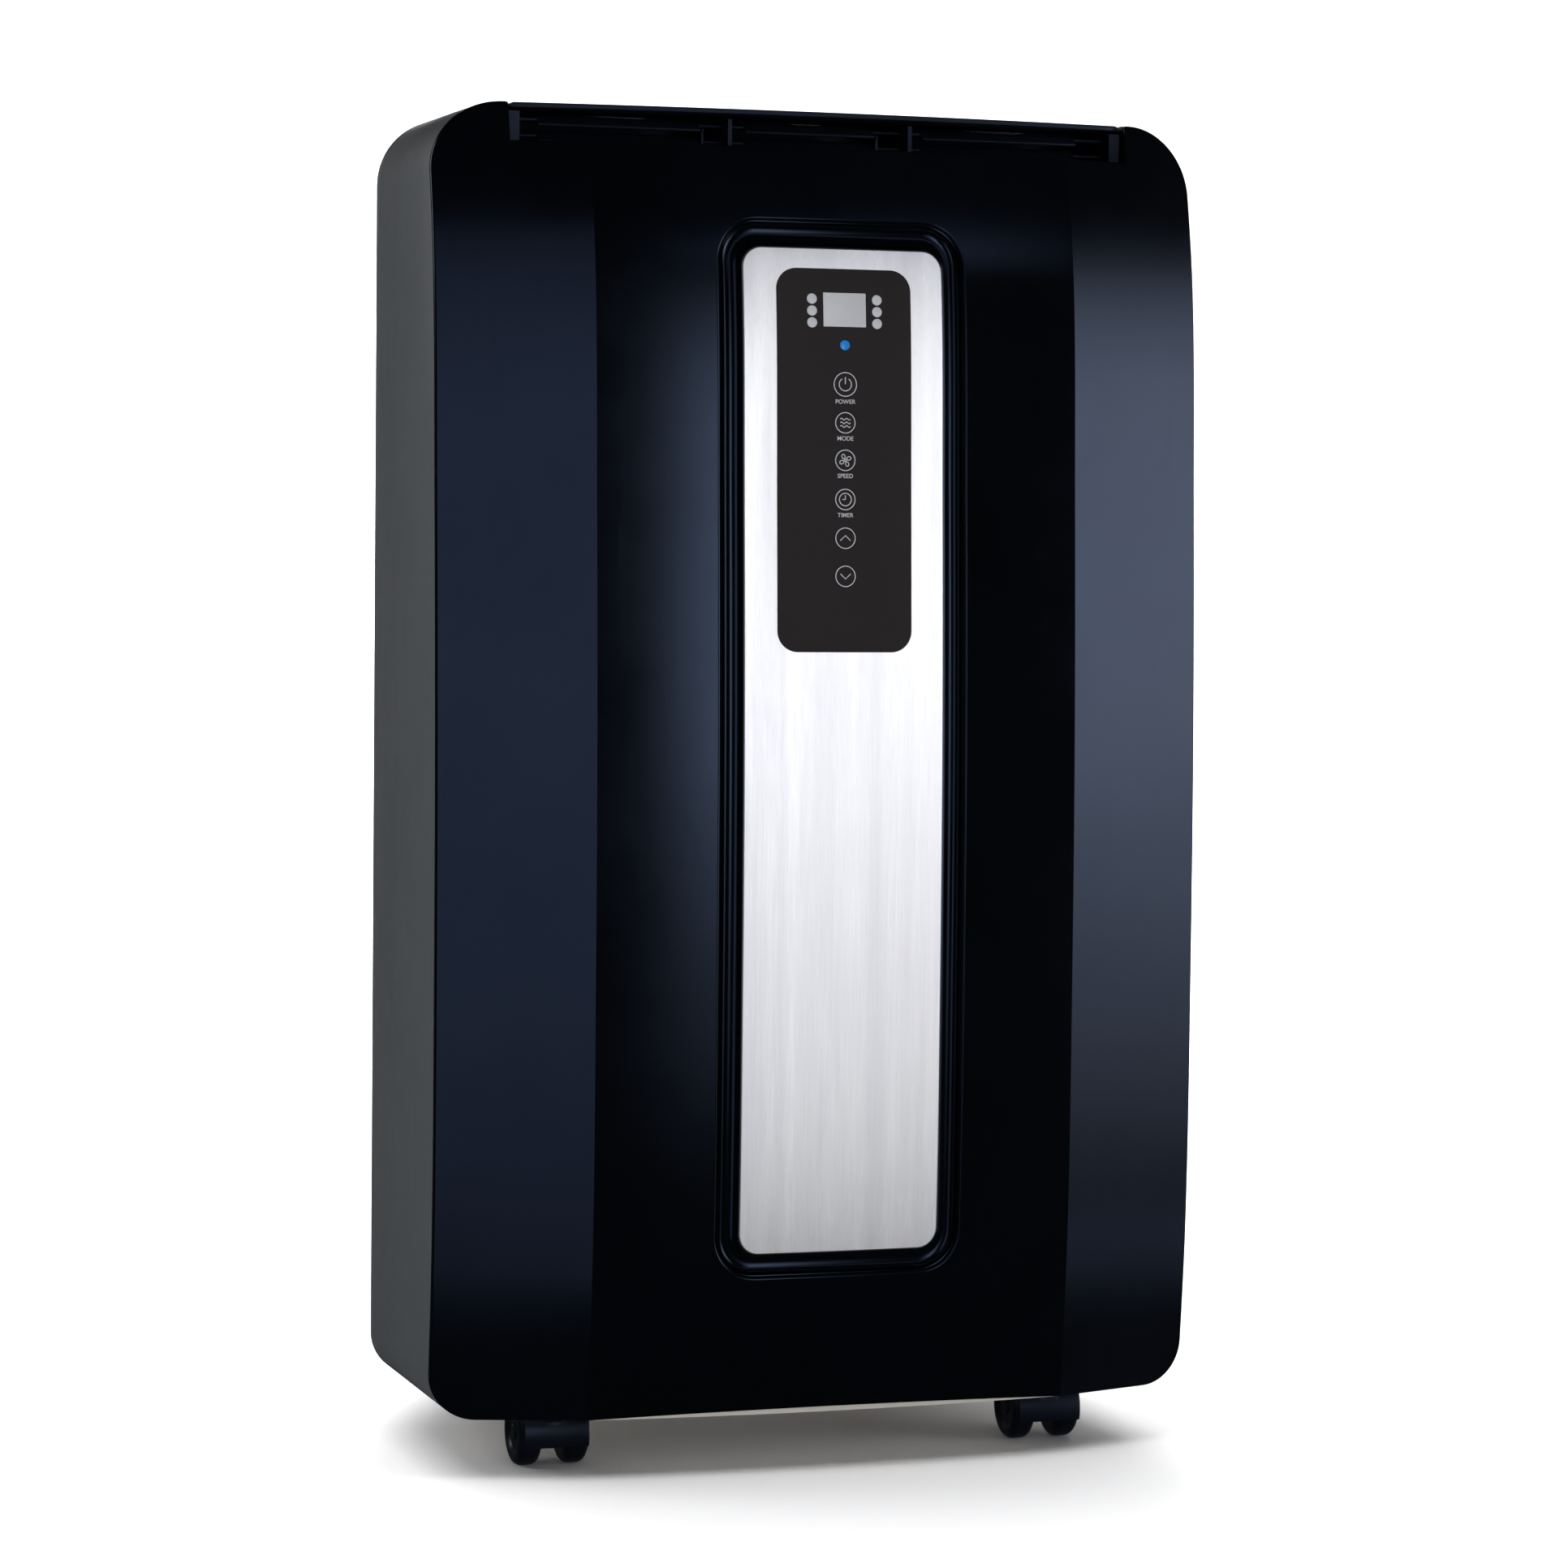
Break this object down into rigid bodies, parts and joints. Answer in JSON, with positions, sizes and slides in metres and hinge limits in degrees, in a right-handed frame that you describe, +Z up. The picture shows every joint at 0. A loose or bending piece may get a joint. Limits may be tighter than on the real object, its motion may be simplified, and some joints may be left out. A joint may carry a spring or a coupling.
{
  "type": "portable air conditioner",
  "caption": "Upright portable air conditioner: crowned black front with a brushed panel and touch keys, top air outlet under a lid, rear hose collar, twin-wheel castors.",
  "frame": {"origin": "on the floor, at the middle of the footprint's bounding box", "axes": "+Z up; the front with the controls faces -Y; +X is to the right seen from the front"},
  "size_m": [0.466, 0.37, 0.79],
  "materials": {
    "gloss_black": "satin-gloss moulded black plastic",
    "satin_grey": "satin dark grey moulded plastic",
    "brushed_metal": "vertically brushed silver sheet",
    "panel_black": "smooth black overlay",
    "lens_grey": "unlit grey lens",
    "lens_blue": "blue receiver lens",
    "black_plastic": "satin black plastic",
    "base_grey": "light warm grey plastic",
    "castor_plastic": "blue-black moulded nylon",
    "rubber_black": "matt black rubber",
    "filter_mesh": "dark fine mesh",
    "coil_metal": "bare fin stock",
    "foam_white": "white expanded foam and plastic",
    "fan_white": "pale moulded fan plastic",
    "motor_steel": "plated steel can",
    "compressor_black": "black painted steel",
    "board_green": "green circuit board",
    "copper": "bare copper tube"
  },
  "bodies": {
    "cabinet": {"front_panel": "gloss_black", "fascia_plate": "brushed_metal", "control_panel": "panel_black", "display_window": "lens_grey", "status_lens": "lens_blue", "indicator_left": "lens_grey", "indicator_right": "lens_grey", "control_board": "board_green", "outlet_frame": "black_plastic", "top_deck": "satin_grey", "side_shell_left": "satin_grey", "side_shell_right": "satin_grey", "rear_shell": "satin_grey", "exhaust_collar": "black_plastic", "cord_gland": "rubber_black", "base_tray": "base_grey", "evaporator_coil": "coil_metal", "condenser_coil": "coil_metal", "drip_tray": "foam_white", "blower_scroll": "foam_white", "fan_shroud": "foam_white", "blower_motor": "motor_steel", "exhaust_fan_motor": "motor_steel", "compressor": "compressor_black", "refrigerant_line": "copper"},
    "air_lid": {"air_lid": "black_plastic"},
    "louvre_1_upper": {"louvre_1_upper": "black_plastic"},
    "louvre_1_lower": {"louvre_1_lower": "black_plastic"},
    "louvre_2_upper": {"louvre_2_upper": "black_plastic"},
    "louvre_2_lower": {"louvre_2_lower": "black_plastic"},
    "louvre_3_upper": {"louvre_3_upper": "black_plastic"},
    "louvre_3_lower": {"louvre_3_lower": "black_plastic"},
    "louvre_link_left": {"louvre_link_left": "black_plastic"},
    "louvre_link_right": {"louvre_link_right": "black_plastic"},
    "key_power": {"key_power": "panel_black"},
    "key_mode": {"key_mode": "panel_black"},
    "key_speed": {"key_speed": "panel_black"},
    "key_timer": {"key_timer": "panel_black"},
    "key_up": {"key_up": "panel_black"},
    "key_down": {"key_down": "panel_black"},
    "intake_upper": {"intake_grille_upper": "satin_grey", "air_filter_upper": "filter_mesh"},
    "intake_lower": {"intake_grille_lower": "satin_grey", "air_filter_lower": "filter_mesh"},
    "drain_cap_upper": {"drain_cap_upper": "rubber_black"},
    "drain_cap_lower": {"drain_cap_lower": "rubber_black"},
    "castor_front_left": {"castor_front_left_body": "castor_plastic"},
    "castor_front_left_wheel_left": {"castor_front_left_wheel_left": "castor_plastic"},
    "castor_front_left_wheel_right": {"castor_front_left_wheel_right": "castor_plastic"},
    "castor_front_right": {"castor_front_right_body": "castor_plastic"},
    "castor_front_right_wheel_left": {"castor_front_right_wheel_left": "castor_plastic"},
    "castor_front_right_wheel_right": {"castor_front_right_wheel_right": "castor_plastic"},
    "castor_rear_left": {"castor_rear_left_body": "castor_plastic"},
    "castor_rear_left_wheel_left": {"castor_rear_left_wheel_left": "castor_plastic"},
    "castor_rear_left_wheel_right": {"castor_rear_left_wheel_right": "castor_plastic"},
    "castor_rear_right": {"castor_rear_right_body": "castor_plastic"},
    "castor_rear_right_wheel_left": {"castor_rear_right_wheel_left": "castor_plastic"},
    "castor_rear_right_wheel_right": {"castor_rear_right_wheel_right": "castor_plastic"},
    "blower_wheel": {"blower_wheel": "fan_white"},
    "exhaust_fan": {"exhaust_fan": "fan_white"}
  },
  "joints": [
    {"name": "lid_hinge", "type": "hinge", "parent": "cabinet", "child": "air_lid", "pos_m": [0, -0.045, 0.7855], "axis": [-1, 0, 0], "range_deg": [0, 55]},
    {"name": "louvre_1_upper_tilt", "type": "hinge", "parent": "cabinet", "child": "louvre_1_upper", "pos_m": [0, -0.115, 0.7815], "axis": [1, 0, 0], "range_deg": [-35, 8]},
    {"name": "louvre_1_lower_tilt", "type": "hinge", "parent": "cabinet", "child": "louvre_1_lower", "pos_m": [0, -0.115, 0.7722], "axis": [1, 0, 0], "range_deg": [-35, 8]},
    {"name": "louvre_2_upper_tilt", "type": "hinge", "parent": "cabinet", "child": "louvre_2_upper", "pos_m": [0, -0.115, 0.7815], "axis": [1, 0, 0], "range_deg": [-35, 8]},
    {"name": "louvre_2_lower_tilt", "type": "hinge", "parent": "cabinet", "child": "louvre_2_lower", "pos_m": [0, -0.115, 0.7722], "axis": [1, 0, 0], "range_deg": [-35, 8]},
    {"name": "louvre_3_upper_tilt", "type": "hinge", "parent": "cabinet", "child": "louvre_3_upper", "pos_m": [0, -0.115, 0.7815], "axis": [1, 0, 0], "range_deg": [-35, 8]},
    {"name": "louvre_3_lower_tilt", "type": "hinge", "parent": "cabinet", "child": "louvre_3_lower", "pos_m": [0, -0.115, 0.7722], "axis": [1, 0, 0], "range_deg": [-35, 8]},
    {"name": "louvre_link_left_pivot", "type": "hinge", "parent": "louvre_1_lower", "child": "louvre_link_left", "pos_m": [-0.0705, -0.1191, 0.76933], "axis": [1, 0, 0], "range_deg": [-8, 35]},
    {"name": "louvre_link_right_pivot", "type": "hinge", "parent": "louvre_2_lower", "child": "louvre_link_right", "pos_m": [0.0365, -0.1191, 0.76933], "axis": [1, 0, 0], "range_deg": [-8, 35]},
    {"name": "key_power_press", "type": "slide", "parent": "cabinet", "child": "key_power", "axis": [0, 1, 0], "range_m": [0, 0.0008], "stiffness_N_per_m": 1500},
    {"name": "key_mode_press", "type": "slide", "parent": "cabinet", "child": "key_mode", "axis": [0, 1, 0], "range_m": [0, 0.0008], "stiffness_N_per_m": 1500},
    {"name": "key_speed_press", "type": "slide", "parent": "cabinet", "child": "key_speed", "axis": [0, 1, 0], "range_m": [0, 0.0008], "stiffness_N_per_m": 1500},
    {"name": "key_timer_press", "type": "slide", "parent": "cabinet", "child": "key_timer", "axis": [0, 1, 0], "range_m": [0, 0.0008], "stiffness_N_per_m": 1500},
    {"name": "key_up_press", "type": "slide", "parent": "cabinet", "child": "key_up", "axis": [0, 1, 0], "range_m": [0, 0.0008], "stiffness_N_per_m": 1500},
    {"name": "key_down_press", "type": "slide", "parent": "cabinet", "child": "key_down", "axis": [0, 1, 0], "range_m": [0, 0.0008], "stiffness_N_per_m": 1500},
    {"name": "intake_upper_pull", "type": "slide", "parent": "cabinet", "child": "intake_upper", "axis": [0, 1, 0], "range_m": [0, 0.06]},
    {"name": "intake_lower_pull", "type": "slide", "parent": "cabinet", "child": "intake_lower", "axis": [0, 1, 0], "range_m": [0, 0.06]},
    {"name": "drain_cap_upper_pull", "type": "slide", "parent": "cabinet", "child": "drain_cap_upper", "axis": [0, 1, 0], "range_m": [0, 0.03]},
    {"name": "drain_cap_lower_pull", "type": "slide", "parent": "cabinet", "child": "drain_cap_lower", "axis": [0, 1, 0], "range_m": [0, 0.03]},
    {"name": "castor_front_left_swivel", "type": "hinge", "parent": "cabinet", "child": "castor_front_left", "pos_m": [-0.1537, -0.118, 0.045], "axis": [0, 0, 1], "continuous": true},
    {"name": "castor_front_left_wheel_left_roll", "type": "hinge", "parent": "castor_front_left", "child": "castor_front_left_wheel_left", "pos_m": [-0.16785, -0.1065, 0.0195], "axis": [1, 0, 0], "continuous": true},
    {"name": "castor_front_left_wheel_right_roll", "type": "hinge", "parent": "castor_front_left", "child": "castor_front_left_wheel_right", "pos_m": [-0.13955, -0.1065, 0.0195], "axis": [1, 0, 0], "continuous": true},
    {"name": "castor_front_right_swivel", "type": "hinge", "parent": "cabinet", "child": "castor_front_right", "pos_m": [0.1537, -0.118, 0.045], "axis": [0, 0, 1], "continuous": true},
    {"name": "castor_front_right_wheel_left_roll", "type": "hinge", "parent": "castor_front_right", "child": "castor_front_right_wheel_left", "pos_m": [0.13955, -0.1065, 0.0195], "axis": [1, 0, 0], "continuous": true},
    {"name": "castor_front_right_wheel_right_roll", "type": "hinge", "parent": "castor_front_right", "child": "castor_front_right_wheel_right", "pos_m": [0.16785, -0.1065, 0.0195], "axis": [1, 0, 0], "continuous": true},
    {"name": "castor_rear_left_swivel", "type": "hinge", "parent": "cabinet", "child": "castor_rear_left", "pos_m": [-0.118, 0.095, 0.045], "axis": [0, 0, 1], "continuous": true},
    {"name": "castor_rear_left_wheel_left_roll", "type": "hinge", "parent": "castor_rear_left", "child": "castor_rear_left_wheel_left", "pos_m": [-0.13215, 0.1065, 0.0195], "axis": [1, 0, 0], "continuous": true},
    {"name": "castor_rear_left_wheel_right_roll", "type": "hinge", "parent": "castor_rear_left", "child": "castor_rear_left_wheel_right", "pos_m": [-0.10385, 0.1065, 0.0195], "axis": [1, 0, 0], "continuous": true},
    {"name": "castor_rear_right_swivel", "type": "hinge", "parent": "cabinet", "child": "castor_rear_right", "pos_m": [0.118, 0.095, 0.045], "axis": [0, 0, 1], "continuous": true},
    {"name": "castor_rear_right_wheel_left_roll", "type": "hinge", "parent": "castor_rear_right", "child": "castor_rear_right_wheel_left", "pos_m": [0.10385, 0.1065, 0.0195], "axis": [1, 0, 0], "continuous": true},
    {"name": "castor_rear_right_wheel_right_roll", "type": "hinge", "parent": "castor_rear_right", "child": "castor_rear_right_wheel_right", "pos_m": [0.13215, 0.1065, 0.0195], "axis": [1, 0, 0], "continuous": true},
    {"name": "blower_wheel_spin", "type": "hinge", "parent": "cabinet", "child": "blower_wheel", "pos_m": [0, 0.03, 0.6], "axis": [0, 1, 0], "continuous": true},
    {"name": "exhaust_fan_spin", "type": "hinge", "parent": "cabinet", "child": "exhaust_fan", "pos_m": [0, 0.03, 0.215], "axis": [0, 1, 0], "continuous": true}
  ],
  "couplings": [
    {"joint": "louvre_1_lower_tilt", "follows": "louvre_1_upper_tilt", "ratio": 1},
    {"joint": "louvre_2_upper_tilt", "follows": "louvre_1_upper_tilt", "ratio": 1},
    {"joint": "louvre_2_lower_tilt", "follows": "louvre_1_upper_tilt", "ratio": 1},
    {"joint": "louvre_3_upper_tilt", "follows": "louvre_1_upper_tilt", "ratio": 1},
    {"joint": "louvre_3_lower_tilt", "follows": "louvre_1_upper_tilt", "ratio": 1},
    {"joint": "louvre_link_left_pivot", "follows": "louvre_1_upper_tilt", "ratio": -1},
    {"joint": "louvre_link_right_pivot", "follows": "louvre_1_upper_tilt", "ratio": -1}
  ]
}
